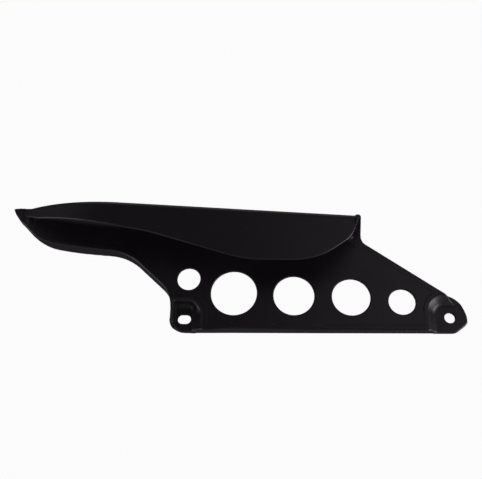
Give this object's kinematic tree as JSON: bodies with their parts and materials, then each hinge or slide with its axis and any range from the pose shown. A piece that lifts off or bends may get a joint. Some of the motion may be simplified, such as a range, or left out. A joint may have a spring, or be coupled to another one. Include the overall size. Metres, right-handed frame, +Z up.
{
  "type": "motorcycle chain guard",
  "caption": "Moulded chain guard: flat side plate with round lightening holes and sunk bolt lugs, folded over into a hood with a bladed skirt and pointed prow.",
  "frame": {"origin": "on the axis of the rear bolt hole, in the plane where both lugs seat", "axes": "as mounted: +X rearward along the chain, +Y inboard towards the swing arm, +Z up"},
  "size_m": [0.4152, 0.054, 0.114],
  "materials": {
    "guard_plastic": "satin, fine moulded grain"
  },
  "bodies": {
    "root": {"chain_guard": "guard_plastic"}
  },
  "joints": []
}
